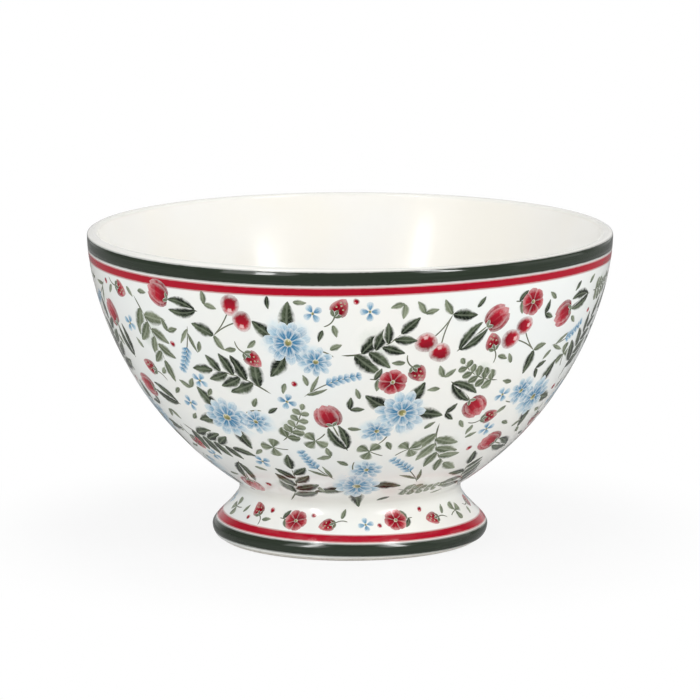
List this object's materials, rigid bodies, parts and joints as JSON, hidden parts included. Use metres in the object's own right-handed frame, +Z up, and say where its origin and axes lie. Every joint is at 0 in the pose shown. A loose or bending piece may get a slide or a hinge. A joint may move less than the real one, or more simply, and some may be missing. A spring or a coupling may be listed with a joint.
{
  "type": "footed tea bowl",
  "caption": "Round glazed tea bowl on a flared hollow foot, white inside, with a small floral pattern outside and dark green and red rings at the lip and foot.",
  "frame": {"origin": "on the bowl's axis, in the plane that the foot stands on", "axes": "+Z up along the bowl's axis; the bowl is round, so +X and +Y are any two directions across it, and the pictured side faces -Y"},
  "size_m": [0.132, 0.132, 0.0783],
  "materials": {
    "clay": "matt, bare fired clay",
    "slip": "matt, fired slip",
    "white_glaze": "gloss",
    "green_colour": "gloss",
    "red_colour": "gloss"
  },
  "bodies": {
    "root": {"bowl_wall": "clay", "foot": "clay", "luting_slip": "slip", "inside_glaze": "white_glaze", "outside_glaze": "white_glaze", "foot_glaze": "white_glaze", "base_glaze": "white_glaze", "rim_band": "green_colour", "rim_line": "red_colour", "foot_line": "red_colour", "foot_band": "green_colour"}
  },
  "joints": []
}
